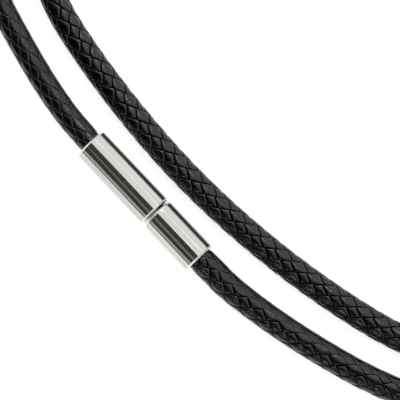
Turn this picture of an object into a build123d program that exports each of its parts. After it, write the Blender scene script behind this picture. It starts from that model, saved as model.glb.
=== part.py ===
"""A cord choker necklace, closed and lying doubled in two turns.

A braided cord of one length runs twice round a plain oval and is closed by a steel tube clasp:
a barrel that holds one end of the cord, and a plug whose post goes into the barrel and whose
sleeve holds the other end. Millimetres, +Z up, with the surface it lies on at Z = 0.
The origin is on that surface under the middle of the clasp.
"""
from build123d import *

import math
import os

# Clasp, outside
clasp_diameter = 4.0
barrel_length = 10.65
sleeve_length = 7.15
joint_gap = 0.2
clasp_heading = -46.7          # degrees, from the barrel's mouth towards the plug's
shoulder_radius = 0.45

# Clasp, inside
sleeve_wall = 0.5              # round each end of the cord
rim_share = 0.4                # how much of that wall each rim's chamfer takes
cord_bore_depth = 4.6
post_diameter = 2.4
post_length = 4.4
post_clearance = 0.1
post_tip_chamfer = 0.2

# Cord
cord_diameter = 3.0
cord_fit = 0.05                # clearance between the squeezed end and its bore, and at its seat
crossing_gap = 0.4
plug_lead = 5.2                # how far the cord runs straight on from each mouth
barrel_lead = 4.6

# The cord's route from the plug round to the barrel, outside the clasp. It was chosen by hand: the
# stretches beside the clasp follow the photograph, and the rest takes the plain way round, twice.
# lift is the share of the hump's height at which a point lies, where the second turn crosses
# over the first.
route = [
    # x, y, lift
    (17.7, -15.9, 0.0),
    (27.8, -21.6, 0.0),
    (38.0, -24.4, 0.0),
    (47.7, -20.8, 0.0),
    (53.3, -12.1, 0.0),
    (52.3, 1.2, 0.0),
    (47.8, 14.1, 0.0),
    (39.8, 25.7, 0.0),
    (29.2, 35.5, 0.0),
    (17.5, 43.1, 0.0),
    (5.3, 46.6, 0.0),
    (-5.2, 43.8, 0.0),
    (-11.7, 35.9, 0.0),
    (-12.3, 25.3, 0.0),
    (-4.9, 13.7, 0.0),
    (5.5, 1.6, 0.0),
    (18.3, -9.3, 0.0),
    (31.8, -17.6, 0.0),
    (41.8, -18.1, 0.3),
    (50.0, -13.0, 1.0),
    (54.2, -3.5, 1.0),
    (54.2, 8.1, 0.35),
    (50.0, 20.5, 0.0),
    (41.2, 32.1, 0.0),
    (29.7, 41.3, 0.0),
    (17.0, 48.1, 0.0),
    (3.5, 50.3, 0.0),
    (-8.9, 47.2, 0.0),
    (-17.2, 38.4, 0.0),
    (-18.9, 26.6, 0.0),
    (-13.0, 15.7, 0.0),
]
arc_share = 0.45               # how much of the shorter run each arc takes up

# Sizes worked out from those above
rim_chamfer = rim_share * sleeve_wall
cord_bore_diameter = clasp_diameter - 2 * sleeve_wall
clasp_length = barrel_length + joint_gap + sleeve_length
socket_diameter = post_diameter + 2 * post_clearance
socket_depth = post_length - joint_gap + 2 * post_clearance
squeezed_diameter = cord_bore_diameter - 2 * cord_fit
squeezed_length = cord_bore_depth - cord_fit
lying_height = cord_diameter / 2
hump_height = cord_diameter + crossing_gap

# Places along the clasp's axis, measured from its middle towards the plug's mouth
barrel_mouth = -clasp_length / 2
barrel_joint = barrel_mouth + barrel_length
shoulder = barrel_joint + joint_gap
plug_mouth = clasp_length / 2

clasp_middle = Vector(0, 0, clasp_diameter / 2)
clasp_axis = Vector(1, 0, 0).rotate(Axis.Z, clasp_heading)


def across(place):
    """The plane square to the clasp's axis at a place along it, looking towards the plug's mouth."""
    return Plane(origin=clasp_middle + clasp_axis * place, x_dir=(0, 0, 1), z_dir=clasp_axis)


def outer_rim(part, place):
    """The widest round edge of a piece at a place along the clasp's axis."""
    centre = clasp_middle + clasp_axis * place
    rims = part.edges().filter_by(GeomType.CIRCLE)
    rims = rims.filter_by(lambda rim: (rim.arc_center - centre).length < cord_fit)
    return rims.sort_by(lambda rim: rim.radius)[-1:]


# The longer half of the clasp, with the cord's bore at one end and the post's socket at the other
with BuildPart() as clasp_barrel:
    with BuildSketch(across(barrel_mouth)):
        Circle(clasp_diameter / 2)
    extrude(amount=barrel_length)
    with BuildSketch(across(barrel_mouth)):
        Circle(cord_bore_diameter / 2)
    extrude(amount=cord_bore_depth, mode=Mode.SUBTRACT)
    with BuildSketch(across(barrel_joint)):
        Circle(socket_diameter / 2)
    extrude(amount=-socket_depth, mode=Mode.SUBTRACT)
    chamfer(outer_rim(clasp_barrel, barrel_mouth), rim_chamfer)
    chamfer(outer_rim(clasp_barrel, barrel_joint), rim_chamfer)
clasp_barrel.part.label = "clasp_barrel"

# The shorter half: a sleeve on the cord, with a rounded shoulder, and the post in front of it
with BuildPart() as clasp_plug:
    with BuildSketch(across(shoulder)):
        Circle(clasp_diameter / 2)
    extrude(amount=sleeve_length)
    with BuildSketch(across(plug_mouth)):
        Circle(cord_bore_diameter / 2)
    extrude(amount=-cord_bore_depth, mode=Mode.SUBTRACT)
    chamfer(outer_rim(clasp_plug, plug_mouth), rim_chamfer)
    fillet(outer_rim(clasp_plug, shoulder), shoulder_radius)
    with BuildSketch(across(shoulder)):
        Circle(post_diameter / 2)
    extrude(amount=-post_length)
    chamfer(outer_rim(clasp_plug, shoulder - post_length), post_tip_chamfer)
clasp_plug.part.label = "clasp_plug"

# The cord's corner points, from the plug's mouth to the barrel's
plug_seat = plug_mouth + cord_fit
barrel_seat = barrel_mouth - cord_fit
corners = [clasp_middle + clasp_axis * place for place in (plug_seat, plug_mouth + plug_lead)]
corners += [Vector(x, y, lying_height + lift * hump_height) for x, y, lift in route]
corners += [clasp_middle + clasp_axis * place for place in (barrel_mouth - barrel_lead, barrel_seat)]


def arc_radius(before, corner, after):
    """The radius that rounds a corner with an arc as large as its two runs allow."""
    run_in = corner - before
    run_out = after - corner
    half_turn = math.radians(run_in.get_angle(run_out)) / 2
    return arc_share * min(run_in.length, run_out.length) / math.tan(half_turn)


radii = [arc_radius(*corners[i - 1:i + 2]) for i in range(1, len(corners) - 1)]

# The cord: one tube along the whole route, and a squeezed end in each bore of the clasp
with BuildPart() as cord:
    with BuildLine() as middle:
        FilletPolyline(*corners, radius=radii)
    with BuildSketch(across(plug_seat)):
        Circle(cord_diameter / 2)
    sweep(path=middle.line)
    for seat, inwards in ((plug_seat, -1), (barrel_seat, 1)):
        with BuildSketch(across(seat)):
            Circle(squeezed_diameter / 2)
        extrude(amount=inwards * squeezed_length)
cord.part.label = "cord"

os.makedirs("parts", exist_ok=True)
export_step(clasp_barrel.part, "parts/clasp_barrel.step")
export_step(clasp_plug.part, "parts/clasp_plug.step")
export_step(cord.part, "parts/cord.step")

tube_length = middle.wire().length
tube_volume = tube_length * math.pi * cord_diameter**2 / 4
ends_volume = 2 * squeezed_length * math.pi * squeezed_diameter**2 / 4
print("arc radii", [round(radius, 1) for radius in radii])
print("cord outside the clasp", round(tube_length, 1), "whole loop", round(tube_length + clasp_length, 1))
print("cord's volume", round(cord.part.volume, 1), "section times length", round(tube_volume + ends_volume, 1))
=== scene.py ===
# %% [markdown]
# # A braided cord choker with a steel tube clasp
#
# The necklace is one round cord, braided from twelve flat strips of black leather, and a two-part
# tube clasp of brushed steel that holds both ends. It lies closed and doubled in two turns on a
# white surface. The clasp comes from the CAD as it is. The cord's plain tube is replaced by a braid
# of the same size along the same route.

# %% Setup
import math

import bmesh
import bpy
import numpy as np
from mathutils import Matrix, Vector


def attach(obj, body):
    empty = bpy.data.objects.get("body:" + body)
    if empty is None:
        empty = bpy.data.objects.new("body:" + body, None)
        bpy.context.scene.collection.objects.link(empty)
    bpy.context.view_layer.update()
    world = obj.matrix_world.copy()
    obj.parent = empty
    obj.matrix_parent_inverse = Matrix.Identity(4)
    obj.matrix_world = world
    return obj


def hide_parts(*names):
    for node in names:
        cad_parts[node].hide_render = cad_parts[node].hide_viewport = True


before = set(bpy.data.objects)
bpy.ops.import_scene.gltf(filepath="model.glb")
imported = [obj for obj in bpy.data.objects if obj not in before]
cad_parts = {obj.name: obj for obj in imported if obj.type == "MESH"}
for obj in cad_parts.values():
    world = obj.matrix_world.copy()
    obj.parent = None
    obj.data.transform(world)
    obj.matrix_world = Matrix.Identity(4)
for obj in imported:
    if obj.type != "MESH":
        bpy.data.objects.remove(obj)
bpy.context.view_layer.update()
MM = 0.001


def linear(hex_colour):
    """An sRGB hex colour as linear RGBA."""
    shares = [int(hex_colour[i:i + 2], 16) / 255 for i in (1, 3, 5)]
    return [c / 12.92 if c <= 0.04045 else ((c + 0.055) / 1.055) ** 2.4 for c in shares] + [1.0]


# %% [markdown]
# ## Camera
#
# The photograph is a close view from almost straight above. A short lens close by would look at
# the outer stretches of the cord from the side. A long lens from 30 cm away sees them all from
# nearly the same angle. The camera aims at the height of the cord's middle, so what lies in the
# plane of the cord falls where the photograph has it.

# %% Camera
camera_distance = 300 * MM
picture_width = 45.39 * MM
aim = Vector((6.22 * MM, 0.13 * MM, 1.55 * MM))
elevation = math.radians(85)
sensor_width = 36              # in the millimetres that Blender gives lenses in

camera_data = bpy.data.cameras.new("camera")
camera_data.sensor_width = sensor_width
camera_data.lens = sensor_width * camera_distance / picture_width
camera = bpy.data.objects.new("camera", camera_data)
bpy.context.scene.collection.objects.link(camera)
away = Vector((0, -math.cos(elevation), math.sin(elevation)))
camera.location = aim + away * camera_distance
camera.rotation_euler = away.to_track_quat("Z", "Y").to_euler()
bpy.context.scene.camera = camera
print("camera lens", round(camera_data.lens, 1))

# %% [markdown]
# ## The cord's route
#
# The cord leaves the plug, goes round the far side, comes back past the clasp, goes round again
# outside its first turn and enters the barrel. The points are the part's own. To follow the
# photograph, four of them to the upper left of the clasp lie about 0.1 mm from the CAD's. Outside
# each mouth of the clasp, the cord also sinks towards the surface a little sooner, by an added point
# at the neck and a moved one at the end of the lead.

# %% The clasp's place
clasp_heading = math.radians(-46.7)
clasp_axis = Vector((math.cos(clasp_heading), math.sin(clasp_heading), 0))
clasp_middle = Vector((0, 0, 2.0 * MM))
clasp_half_length = 9.0 * MM


def on_axis(place):
    """The point of the clasp's axis at a distance from its middle, towards the plug's mouth."""
    return clasp_middle + clasp_axis * place


print("the plug's mouth is at", [round(c / MM, 2) for c in on_axis(clasp_half_length)], "mm")

# %% The route's points
cord_diameter = 3.0 * MM
crossing_gap = 0.4 * MM
outside = cord_diameter / 2
lying_height = cord_diameter / 2
hump_height = cord_diameter + crossing_gap
route = [
    # x and y in mm, and the share of the hump's height, where the second turn crosses the first
    (17.7, -15.9, 0.0),
    (27.8, -21.6, 0.0),
    (38.0, -24.4, 0.0),
    (47.7, -20.8, 0.0),
    (53.3, -12.1, 0.0),
    (52.3, 1.2, 0.0),
    (47.8, 14.1, 0.0),
    (39.8, 25.7, 0.0),
    (29.2, 35.5, 0.0),
    (17.5, 43.1, 0.0),
    (5.3, 46.6, 0.0),
    (-5.2, 43.8, 0.0),
    (-11.7, 35.9, 0.0),
    (-12.2, 25.4, 0.0),
    (-4.8, 13.8, 0.0),
    (5.5, 1.6, 0.0),
    (18.3, -9.3, 0.0),
    (31.8, -17.6, 0.0),
    (41.8, -18.1, 0.3),
    (50.0, -13.0, 1.0),
    (54.2, -3.5, 1.0),
    (54.2, 8.1, 0.35),
    (50.0, 20.5, 0.0),
    (41.2, 32.1, 0.0),
    (29.7, 41.3, 0.0),
    (17.0, 48.1, 0.0),
    (3.5, 50.3, 0.0),
    (-8.9, 47.2, 0.0),
    (-17.2, 38.4, 0.0),
    (-18.8, 26.6, 0.0),
    (-12.9, 15.7, 0.0),
]
# How far from each mouth of the clasp the points beside it lie, and how far they are off its axis
seat = 0.05 * MM
neck_lead = 1.2 * MM
plug_lead = 5.2 * MM
barrel_lead = 4.6 * MM
neck_bend = Vector((0.1 * MM, 0.1 * MM, -0.25 * MM))
plug_lead_bend = Vector((0.1 * MM, 0.1 * MM, -0.4 * MM))
barrel_lead_bend = Vector((0.2 * MM, 0.1 * MM, -0.4 * MM))

corners = [on_axis(clasp_half_length + seat)]
corners += [on_axis(clasp_half_length + neck_lead) + neck_bend]
corners += [on_axis(clasp_half_length + plug_lead) + plug_lead_bend]
corners += [Vector((x * MM, y * MM, lying_height + lift * hump_height)) for x, y, lift in route]
corners += [on_axis(-clasp_half_length - barrel_lead) + barrel_lead_bend]
corners += [on_axis(-clasp_half_length - neck_lead) + neck_bend]
corners += [on_axis(-clasp_half_length - seat)]
print("route of", len(corners), "points")

# %% [markdown]
# ## The spline
#
# A supple cord bends evenly and never bulges between two points. A NURBS curve of the lowest order
# that is smooth does the same. It stays as the core's curve, and is read once as a fine line of
# places, along which the braid is laid.

# %% The spline through the route
fine_steps = 48                # steps a stretch between two points, for the line
least_step = 1e-9              # metres: shorter steps are the same place twice
route_curve = bpy.data.curves.new("cord_core", "CURVE")
route_curve.dimensions = "3D"
spline = route_curve.splines.new("NURBS")
spline.points.add(len(corners) - 1)
for point, corner in zip(spline.points, corners):
    point.co = (*corner, 1.0)
spline.order_u = 3
spline.use_endpoint_u = True
spline.resolution_u = fine_steps
cord_core = bpy.data.objects.new("cord_core", route_curve)
bpy.context.scene.collection.objects.link(cord_core)

line_mesh = bpy.data.meshes.new_from_object(cord_core)
line = np.array([vertex.co for vertex in line_mesh.vertices])
bpy.data.meshes.remove(line_mesh)
if np.linalg.norm(line[0] - corners[0]) > np.linalg.norm(line[-1] - corners[0]):
    line = line[::-1]
steps = np.linalg.norm(np.diff(line, axis=0), axis=1)
line = line[np.concatenate([[True], steps > least_step])]
along = np.concatenate([[0], np.cumsum(np.linalg.norm(np.diff(line, axis=0), axis=1))])
cord_length = float(along[-1])
print("line of", len(line), "places,", round(cord_length / MM, 1), "mm")

# %% [markdown]
# ## The braid's measures
#
# In a one-over-one braid of twelve strips, six go round one way and six the other. They cross in
# twelve columns along the cord, 30 degrees apart. In one column it is always the same hand that
# lies on top, and the columns beside it are half a pitch further on. The braid was made with a
# slight twist, so the columns turn slowly as they go along.

# %% Sizes of the braid
strips_a_hand = 6
pitch = 2.25 * MM
column_angle = math.pi / strips_a_hand
strip_thickness = 0.32 * MM
weave_depth = 0.16 * MM
middle_radius = outside - weave_depth - strip_thickness / 2
lay_angle = math.degrees(math.atan(2 * math.pi * outside / (strips_a_hand * pitch)))
print("strips", round(strip_thickness / MM, 2), "mm thick at", round(lay_angle, 1), "degrees to the cord")

# %% [markdown]
# ## How the cord changes along its way
#
# A worn cord isn't the same all along. It is squeezed in at each mouth of the clasp, and fuller in
# some stretches than in others. Outside both mouths its upper-right side has been pressed smooth.
# There, and where it comes past the plug on its way round again, it has a blunt ridge, which catches
# the light as one bright line. Each of these is a short list of stops with even change between
# them, so one stop can be moved without touching the rest. The first number of each stop is how
# far along the cord it lies, in mm from the plug's mouth.

# %% Stops along the cord
# The cord's width, in mm
widths = [
    (-2.0, 2.86), (0.1, 2.9), (0.32, 3.14), (3.0, 3.16), (9.0, 3.09), (30.0, 3.07),
    (150.0, 3.08), (190.0, 3.22), (230.0, 3.18), (260.0, 3.08), (340.0, 3.04), (370.0, 2.93),
    (396.0, 2.85), (400.7, 2.8), (401.1, 2.7), (401.3, 2.62), (403.4, 2.6),
]
# By how many degrees the columns are turned
turns = [
    (-2.0, -25.0), (0.0, -24.0), (24.0, 0.0), (177.0, 22.0), (198.0, 37.0), (226.0, 38.0),
    (390.0, 46.0), (403.4, 48.0),
]
# By how many half pitches the crossings come sooner than an even braid's
crossing_leads = [
    (-2.0, 0.8), (24.0, 0.75), (190.0, 0.4), (225.0, 0.3), (390.0, -0.67), (403.4, -0.67),
]
# How much of the relief is pressed flat on the cord's left-hand side, as a share
smooth_shares = [
    (-2.0, 0.85), (12.0, 0.9), (24.0, 0.75), (45.0, 0.0), (355.0, 0.0), (384.0, 0.7), (403.4, 0.8),
]
# How much of that pressing is left at the top of the cord: 0 is none, and 1 and more is all
smooth_reaches = [(-2.0, 0.2), (24.0, 0.1), (355.0, 0.0), (384.0, 1.3), (403.4, 1.4)]
# How many degrees to the right of the top a blunt ridge runs: below 0 is to the left
ridge_angles = [
    (-2.0, -19.0), (24.0, -12.0), (190.0, -16.0), (226.0, -16.0), (384.0, -13.0), (401.4, -15.0),
]
# How flat the cord is on both sides of that ridge: 0 is round, and 1 is flat
ridge_shares = [
    (-2.0, 0.0), (1.0, 0.9), (26.0, 0.9), (45.0, 0.0), (190.0, 0.0), (202.0, 0.6), (228.0, 0.8),
    (245.0, 0.0), (370.0, 0.0), (384.0, 0.8), (400.0, 0.9), (401.4, 0.0),
]
ridge_spread = math.radians(22)    # from the ridge to the middle of each flat beside it
smooth_fade = 2.5                  # how quickly the pressing fades round the cord


def at(stops, place):
    """The value of a list of stops at places along the cord, which are in metres."""
    stops = np.array(stops)
    return np.interp(place / MM, stops[:, 0], stops[:, 1])


for place in (100 * MM, 200 * MM):
    print("the cord is", round(at(widths, place), 2), "mm wide", round(place / MM), "mm along")

# %% [markdown]
# ## From the braid's plan to places on the cord
#
# The braid is planned flat: how many crossings along, and at what angle round the cord. One
# function then lays each point of that plan on the bent cord. So the strips follow every bend of
# the cord, and the plan stays as simple as that of a straight one.

# %% The line ahead of and behind the cord's ends
clasp_reach = 2 * MM               # how far the line is continued into each half of the clasp
spot_count = 400
spots = np.linspace(-clasp_reach, cord_length + clasp_reach, spot_count)
beats = spots / (pitch / 2) + at(crossing_leads, spots)

into_plug = line[0] - np.array(clasp_axis) * clasp_reach
into_barrel = line[-1] + np.array(clasp_axis) * clasp_reach
full_line = np.vstack([into_plug, line, into_barrel])
full_along = np.concatenate([[-clasp_reach], along, [cord_length + clasp_reach]])
heading = np.gradient(full_line, full_along, axis=0)
heading /= np.linalg.norm(heading, axis=1)[:, None]
print("crossings along the cord", round(float(beats[-1] - beats[0])))

# %% Places on the cord
lying_margin = 0.05 * MM           # a middle no higher than this above its lying height is lying


def pressed(place, angle):
    """How far out the cord's surface lies, as a share of its round: less beside a ridge."""
    beside = np.abs(angle - np.radians(at(ridge_angles, place))) - ridge_spread
    flat = np.where(np.abs(beside) < ridge_spread, math.cos(ridge_spread) / np.cos(beside), 1)
    return 1 - at(ridge_shares, place) * (1 - flat)


def place_on_cord(place, angle, radius):
    """Points at places along the cord, at an angle from straight up towards its right-hand side."""
    centre = np.stack([np.interp(place, full_along, full_line[:, i]) for i in range(3)], axis=-1)
    ahead = np.stack([np.interp(place, full_along, heading[:, i]) for i in range(3)], axis=-1)
    ahead /= np.linalg.norm(ahead, axis=-1, keepdims=True)
    right = np.cross(ahead, (0, 0, 1))
    right /= np.linalg.norm(right, axis=-1, keepdims=True)
    up = np.cross(right, ahead)
    scale = at(widths, place) * MM / cord_diameter
    # Where the cord lies and is fuller than its plain width, its middle is higher
    lying = centre[..., 2] < lying_height + lying_margin
    centre[..., 2] += np.maximum(scale - 1, 0) * outside * lying
    smooth = np.clip(at(smooth_reaches, place) - smooth_fade * np.sin(angle), 0, 1)
    relief = 1 - at(smooth_shares, place) * smooth
    round_angle = (angle + math.pi) % (2 * math.pi) - math.pi
    radius = (outside - (outside - radius) * relief) * pressed(place, round_angle)
    out = up * np.cos(angle)[..., None] + right * np.sin(angle)[..., None]
    points = centre + out * (radius * scale)[..., None]
    points[..., 2] = np.maximum(points[..., 2], 0)
    return points


top = place_on_cord(np.array([200 * MM]), np.array([0.0]), np.array([outside]))[0]
print("the cord's top is", round(top[2] / MM, 2), "mm high past the clasp")

# %% [markdown]
# ## The strips
#
# Each strip is a flat band with rounded edges that lies on the cord's round. It rises over every
# second strip that it crosses and dips under the next, and it bends along the crossing strip's
# edge, as stiff leather does. So each crossing shows a small rhombus with two sharp sides and two
# that run down under their neighbours. A pattern in a material could show the rhombi, but not
# their dark edges and the small steps along the cord's outline, so the strips are real bands.

# %% A strip's section and its bends
half_thick = strip_thickness / 2
profile = np.array([
    # across in half widths, out in half thicknesses
    (-1.0, -0.7), (-0.98, 0.2), (-0.93, 0.62), (-0.84, 0.83), (-0.6, 0.93), (0.0, 1.0),
    (0.6, 0.93), (0.84, 0.83), (0.93, 0.62), (0.98, 0.2), (1.0, -0.7),
])
bend = np.array([
    # how far from the top of a crossing, in half pitches, and how high: 1 is over, -1 is under
    (0.0, 1.0), (0.24, 0.97), (0.37, 0.86), (0.415, 0.6), (0.445, -0.1), (0.475, -0.7),
    (0.53, -0.95), (0.68, -1.0),
])
# The strips of one hand are a little wider, and lie over the others for longer
widening = {1: 1.16, -1: 0.92}
over_length = {1: 1.12, -1: 0.84}
# Where the strips stop inside the clasp, and how far a braider's hand lets them stray
strip_reach = 1.6 * MM
stray_spacing = 1.4                # half pitches from one stray to the next
sway_spread = 0.035                # to the side, in half widths
tip_spread = 0.012 * MM            # one edge up and the other down
chance = np.random.default_rng(12)
print("a strip's section has", len(profile), "points, and each crossing", 2 * len(bend) - 1, "rings")


# %% The points of a strip
def strip_points(hand, member):
    """All points of one strip, ring by ring.

    Each ring runs along the strips that it crosses, so that every bend follows their edges.
    """
    first, last = np.interp([-strip_reach, cord_length + strip_reach], spots, beats)
    # The crossings where this hand lies on top are the even or the odd ones
    tops = np.arange(math.ceil(first) - 1, math.floor(last) + 2)
    tops = tops[tops % 2 == (0 if hand > 0 else 1)]
    # Where each ring lies along the strip, in half pitches, and how high
    offsets = np.concatenate([-bend[:0:-1, 0], bend[:, 0]]) * over_length[hand]
    lays = np.concatenate([bend[:0:-1, 1], bend[:, 1]])
    own = (tops[:, None] + offsets).ravel()
    lay = np.tile(lays, len(tops))
    inside = (own >= first) & (own <= last)
    own, lay = own[inside][:, None], lay[inside][:, None]
    # How far the strip strays at each ring
    knots = np.arange(first - 2, last + 3, stray_spacing)
    sway = np.interp(own, knots, chance.normal(0, sway_spread, len(knots)))
    tip = np.interp(own, knots, chance.normal(0, tip_spread, len(knots)))
    # Each ring's points in the braid's plan, and from there on the cord
    across = profile[None, :, 0] * widening[hand] + sway
    out = profile[None, :, 1] * half_thick
    beat = own - hand * across / 2
    place = np.interp(beat, beats, spots)
    angle = column_angle * (hand * own + 2 * member + across / 2)
    radius = middle_radius + weave_depth * lay + out + tip * profile[None, :, 0]
    return place_on_cord(place, angle + np.radians(at(turns, place)), radius)


# %% The strips as four pieces
def strip_piece(name, members):
    """One mesh of several strips."""
    points, faces = [], []
    start = 0
    size = len(profile)
    for hand, member in members:
        strip = strip_points(hand, member)
        rings = len(strip)
        points.append(strip.reshape(-1, 3))
        ring, side = np.meshgrid(np.arange(rings - 1), np.arange(size), indexing="ij")
        here = start + ring * size + side
        beside = start + ring * size + (side + 1) % size
        faces.append(np.stack([here, here + size, beside + size, beside], axis=-1).reshape(-1, 4))
        start += rings * size
    mesh = bpy.data.meshes.new(name)
    mesh.from_pydata(np.vstack(points).tolist(), [], np.vstack(faces).tolist())
    mesh.polygons.foreach_set("use_smooth", [True] * len(mesh.polygons))
    piece = bpy.data.objects.new(name, mesh)
    bpy.context.scene.collection.objects.link(piece)
    print(name, 2 * len(mesh.polygons), "triangles")
    return piece


strip_pieces = []
for hand, word in ((1, "right"), (-1, "left")):
    for half, members in (("a", (0, 2, 4)), ("b", (1, 3, 5))):
        strips = [(hand, member) for member in members]
        strip_pieces.append(strip_piece(f"strips_{word}_{half}", strips))

# %% [markdown]
# ## The core
#
# A round core runs inside the braid. It only closes the small openings at the corners of the
# rhombi, where the real cord is dark. The route's own curve becomes the core, by a round bevel.

# %% Core
core_radius = 1.06 * MM
core_steps = 12                    # steps a stretch between two points, for the core
route_curve.bevel_depth = core_radius
route_curve.bevel_resolution = 3
spline.resolution_u = core_steps
print("core", round(2 * core_radius / MM, 2), "mm across")

# %% [markdown]
# ## Materials
#
# One helper adds a node with its settings and links, and another starts an empty material. The
# patterns read Object coordinates, in metres, so each scale is one over a real size.

# %% Node helper
def add_node(tree, kind, inputs=None, **settings):
    """A new node with its settings, and its inputs set to values or linked to other sockets."""
    node = tree.nodes.new(kind)
    for name, value in settings.items():
        setattr(node, name, value)
    for name, value in (inputs or {}).items():
        if isinstance(value, bpy.types.NodeSocket):
            tree.links.new(value, node.inputs[name])
        else:
            node.inputs[name].default_value = value
    return node


def new_material(name):
    """An empty node material, its tree and its shader."""
    material = bpy.data.materials.new(name)
    material.use_nodes = True
    return material, material.node_tree, material.node_tree.nodes["Principled BSDF"]


print("a pattern 1 mm across has a scale of", round(1 / MM))

# %% [markdown]
# ## Leather of the strips
#
# The strips are leather, dyed through in black and given a thin half-gloss coat. To the eye that is
# almost black all over, with soft grey patches where a strip mirrors the light, broken up by pores.
# So nearly all of the look comes from the gloss and the bump, and the colour hardly changes.

# %% Black dyed leather
# Real pores are about 0.1 mm apart, too fine to show, so they are drawn more than twice as coarse
pore_size = 0.24 * MM
pore_depth = 0.03 * MM
patch_size = 1.4 * MM              # how far apart the more and the less polished patches lie
leather, tree, shader = new_material("black_leather_strip")
coords = add_node(tree, "ShaderNodeTexCoord").outputs["Object"]
pores = add_node(tree, "ShaderNodeTexNoise", {"Vector": coords, "Scale": 1 / pore_size, "Detail": 3})
patches = add_node(tree, "ShaderNodeTexNoise", {"Vector": coords, "Scale": 1 / patch_size, "Detail": 3})
tone = add_node(tree, "ShaderNodeValToRGB", {"Fac": patches.outputs["Fac"]})
tone.color_ramp.elements[0].position = 0.35
tone.color_ramp.elements[0].color = linear("#020202")
tone.color_ramp.elements[1].position = 0.7
tone.color_ramp.elements[1].color = linear("#040405")
shine = add_node(tree, "ShaderNodeMapRange", {
    "Value": patches.outputs["Fac"], "To Min": 0.15, "To Max": 0.22,
})
bump = add_node(tree, "ShaderNodeBump", {
    "Height": pores.outputs["Fac"], "Strength": 1.0, "Distance": pore_depth,
})
shader.inputs["Specular IOR Level"].default_value = 0.5
tree.links.new(tone.outputs["Color"], shader.inputs["Base Color"])
tree.links.new(shine.outputs["Result"], shader.inputs["Roughness"])
tree.links.new(bump.outputs["Normal"], shader.inputs["Normal"])
for piece in strip_pieces:
    piece.data.materials.append(leather)
print(leather.name, "with", len(tree.nodes), "nodes on", len(strip_pieces), "pieces")

# %% [markdown]
# ## Thread of the core
#
# Inside the braid runs a bundle of black thread. It is matt, and reflects almost nothing through
# the small openings that show it.

# %% Black thread
core_black, tree, shader = new_material("core_thread")
shader.inputs["Base Color"].default_value = linear("#050505")
shader.inputs["Roughness"].default_value = 0.9
route_curve.materials.append(core_black)
print(core_black.name, "on", cord_core.name)

# %% [markdown]
# ## Steel of the clasp
#
# The clasp is stainless steel tube, brushed lengthwise and wiped. It mirrors what stands round it as
# bands along the tube, a little blurred, with faint streaks. Its rims were turned on a lathe and
# are matt, and their colour is painted paler as a painted highlight. Across the joint between the
# two halves a dark band is painted in, wider on the side towards the upper right: painted shade in
# the gap. Both are bands in the one material, set by the distance along the clasp's axis.

# %% Places on the clasp
# Real brush lines are under 0.05 mm wide, too fine to show, so they are drawn four times as coarse
streak_length = 17 * MM
streak_width = 0.2 * MM
streak_depth = 0.002 * MM
cloud_size = 2.9 * MM              # how far apart the more and the less polished patches lie
# Places along the axis from the clasp's middle and half widths, in metres
# The dark band across the joint is painted shade in the gap, wider towards the upper right
joint_middle = 1.73 * MM
joint_shade_half_widths = (0.02 * MM, 0.09 * MM)     # on the side to the lower left and on the other
joint_shade_sides = (-0.3 * MM, 0.6 * MM)            # from where to where across the axis it widens
joint_shade_fade = 0.03 * MM
# The rims' higher roughness is their real matt turning, and their paler colour is a painted highlight
rims = [(-9.0 * MM, 0.18 * MM), (1.66 * MM, 0.2 * MM), (2.02 * MM, 0.14 * MM), (9.0 * MM, 0.18 * MM)]
rim_fade = 0.04 * MM
steel, tree, shader = new_material("brushed_steel")
coords = add_node(tree, "ShaderNodeTexCoord").outputs["Object"]
turned = add_node(
    tree, "ShaderNodeVectorRotate", {"Vector": coords, "Angle": -clasp_heading}, rotation_type="Z_AXIS",
).outputs["Vector"]
apart = add_node(tree, "ShaderNodeSeparateXYZ", {"Vector": turned})


def beyond(middle, half_width):
    """How far along the axis the surface lies outside a band of the clasp: below 0 inside it."""
    off = add_node(tree, "ShaderNodeMath", {0: apart.outputs["X"], 1: middle}, operation="SUBTRACT")
    off = add_node(tree, "ShaderNodeMath", {0: off.outputs["Value"]}, operation="ABSOLUTE")
    off = add_node(tree, "ShaderNodeMath", {0: off.outputs["Value"], 1: half_width}, operation="SUBTRACT")
    return off.outputs["Value"]


joint_shade_width = add_node(tree, "ShaderNodeMapRange", {
    "Value": apart.outputs["Y"], "From Min": joint_shade_sides[0], "From Max": joint_shade_sides[1],
    "To Min": joint_shade_half_widths[0], "To Max": joint_shade_half_widths[1],
})
off_joint_shade = add_node(tree, "ShaderNodeMapRange", {
    "Value": beyond(joint_middle, joint_shade_width.outputs["Result"]), "From Min": 0.0,
    "From Max": joint_shade_fade, "To Min": 0.0, "To Max": 1.0,
})
off_rim = beyond(*rims[0])
for rim in rims[1:]:
    off_rim = add_node(tree, "ShaderNodeMath", {0: off_rim, 1: beyond(*rim)}, operation="MINIMUM")
    off_rim = off_rim.outputs["Value"]
at_rim = add_node(tree, "ShaderNodeMapRange", {
    "Value": off_rim, "From Min": 0.0, "From Max": rim_fade, "To Min": 1.0, "To Max": 0.0,
})
print("rims at", [round(place / MM, 2) for place, half_width in rims], "mm along the clasp")

# %% Brushed stainless steel
drawn = add_node(tree, "ShaderNodeMapping", {
    "Vector": turned, "Scale": (1 / streak_length, 1 / streak_width, 1 / streak_width),
})
streaks = add_node(tree, "ShaderNodeTexNoise", {
    "Vector": drawn.outputs["Vector"], "Scale": 1.0, "Detail": 5,
})
clouds = add_node(tree, "ShaderNodeTexNoise", {"Vector": turned, "Scale": 1 / cloud_size, "Detail": 3})
shine = add_node(tree, "ShaderNodeMapRange", {
    "Value": clouds.outputs["Fac"], "From Min": 0.3, "From Max": 0.7, "To Min": 0.09, "To Max": 0.15,
})
rough = add_node(tree, "ShaderNodeMix", {
    "Factor": at_rim.outputs["Result"], "A": shine.outputs["Result"], "B": 0.5,
})
bright = add_node(tree, "ShaderNodeValToRGB", {"Fac": streaks.outputs["Fac"]})
bright.color_ramp.elements[0].position = 0.3
bright.color_ramp.elements[0].color = linear("#b0b1ab")
bright.color_ramp.elements[1].position = 0.7
bright.color_ramp.elements[1].color = linear("#cdcec9")
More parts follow.
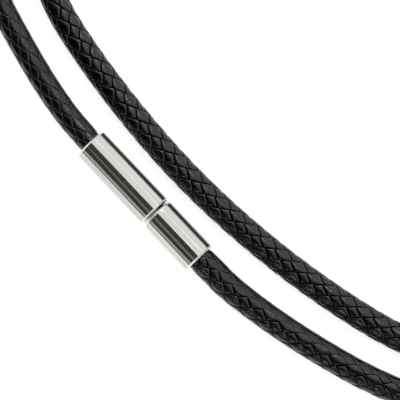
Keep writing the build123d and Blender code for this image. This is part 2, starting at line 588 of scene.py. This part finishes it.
# The rims' paler colour stands in for their bright edge: a painted highlight
rim_painted_highlight = add_node(tree, "ShaderNodeMix", {"Factor": at_rim.outputs["Result"]}, data_type="RGBA")
rim_painted_highlight.inputs["B"].default_value = linear("#f0f0ec")
# Across the joint the steel's colour is painted dark: painted shade in the gap between the halves
colour = add_node(tree, "ShaderNodeMix", {"Factor": off_joint_shade.outputs["Result"]}, data_type="RGBA")
colour.inputs["A"].default_value = linear("#101010")
scratches = add_node(tree, "ShaderNodeBump", {
    "Height": streaks.outputs["Fac"], "Strength": 0.08, "Distance": streak_depth,
})
tree.links.new(bright.outputs["Color"], rim_painted_highlight.inputs["A"])
tree.links.new(rim_painted_highlight.outputs["Result"], colour.inputs["B"])
tree.links.new(colour.outputs["Result"], shader.inputs["Base Color"])
tree.links.new(rough.outputs["Result"], shader.inputs["Roughness"])
tree.links.new(scratches.outputs["Normal"], shader.inputs["Normal"])
# A thin film of polish on the steel keeps its darkest bands from going quite black
shader.inputs["Metallic"].default_value = 0.96
clasp_nodes = ("clasp_barrel", "clasp_plug")
for node in clasp_nodes:
    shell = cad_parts[node]
    shell.data.materials.clear()
    shell.data.materials.append(steel)
print(steel.name, "with", len(tree.nodes), "nodes on", clasp_nodes)

# %% [markdown]
# ## What rides on what
#
# The necklace has no joint, so everything rides on its one body. The strips and the core together
# stand for the CAD's cord.

for piece in (*strip_pieces, cord_core):
    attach(piece, "root")
    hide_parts("cord")
print("declared", len(strip_pieces), "pieces of strips and their core")

# %% [markdown]
# ## Surface
#
# The necklace lies on a white surface that is lit from within as well as from above, so it stays
# white with hardly a shadow. It mirrors nothing. It lies just under the surface of the frame, so
# that the cord's lowest points don't flicker in it.

# %% Surface
floor_half_side = 1.5
floor_drop = 0.01 * MM
floor_glow = 0.75
floor_mesh = bpy.data.meshes.new("floor")
sheet = bmesh.new()
bmesh.ops.create_grid(sheet, x_segments=1, y_segments=1, size=floor_half_side)
sheet.to_mesh(floor_mesh)
sheet.free()
floor = bpy.data.objects.new("floor", floor_mesh)
bpy.context.scene.collection.objects.link(floor)
floor.location.z = -floor_drop
# White acrylic, lit from within: matt, and brighter than its colour alone would make it
white, tree, shader = new_material("lit_white_acrylic")
shader.inputs["Base Color"].default_value = linear("#a0a0a0")
shader.inputs["Roughness"].default_value = 0.8
shader.inputs["Specular IOR Level"].default_value = 0
shader.inputs["Emission Color"].default_value = linear("#ffffff")
shader.inputs["Emission Strength"].default_value = floor_glow
floor_mesh.materials.append(white)
print("surface of", len(floor_mesh.polygons), "face", 2 * floor_half_side, "m wide")

# %% [markdown]
# ## Light
#
# What the steel shows is a picture of the lights. A large softbox to the upper right, from the
# surface to just past the zenith, makes the broad bright band. The room is dark on the other side,
# which makes the dark band. A strip and a wall of light low to the lower left draw the fine bright
# lines in it. Two small lamps put glints on the leather. Past each end of the clasp stand a wall
# and a card, so that the steel has something to mirror from the sides and from behind. The surface
# has a light of its own from above, which the steel and the leather don't mirror.

# %% Lights
lights = [
    # name, azimuth and tilt from straight up in degrees, distance, width and height in metres, radiance
    ("softbox", 43.3, 43, 0.64, 1.3, 1.32, 1.25),
    ("high_lamp", 71, 37, 0.8, 0.1, 0.1, 18),
    ("low_lamp", -116, 47, 0.8, 0.14, 0.14, 6),
    ("low_edge", -115, 32, 0.78, 0.52, 0.2, 0.22),
    ("low_wall", -120, 73, 0.8, 0.75, 0.27, 0.58),
    ("plug_wall", -46.7, 80, 0.8, 0.8, 0.3, 0.7),
    ("barrel_wall", 133.3, 80, 0.8, 0.8, 0.3, 0.7),
    ("plug_card", -46.7, 58, 0.8, 1.1, 0.6, 0.5),
    ("barrel_card", 133.3, 58, 0.8, 1.1, 0.6, 0.5),
    ("floor_light", 0, 0, 0.9, 2.4, 2.4, 1.0),
]
room_glow = 0.006


def soft_light(name, azimuth, tilt, distance, width, height, radiance):
    """A rectangular light aimed at the clasp."""
    data = bpy.data.lights.new(name, "AREA")
    data.shape = "RECTANGLE"
    data.size = width
    data.size_y = height
    data.energy = radiance * math.pi * width * height
    light = bpy.data.objects.new(name, data)
    bpy.context.scene.collection.objects.link(light)
    azimuth, tilt = math.radians(azimuth), math.radians(tilt)
    level = math.sin(tilt)
    towards = Vector((level * math.cos(azimuth), level * math.sin(azimuth), math.cos(tilt)))
    light.location = towards * distance
    light.rotation_euler = towards.to_track_quat("Z", "Y").to_euler()
    return light


placed = {row[0]: soft_light(*row) for row in lights}
placed["floor_light"].visible_glossy = False
world = bpy.data.worlds.new("room")
bpy.context.scene.world = world
world.use_nodes = True
room = world.node_tree.nodes["Background"]
room.inputs["Color"].default_value = linear("#ffffff")
room.inputs["Strength"].default_value = room_glow
bpy.context.scene.view_settings.view_transform = "Standard"
print("lights", sorted(placed))
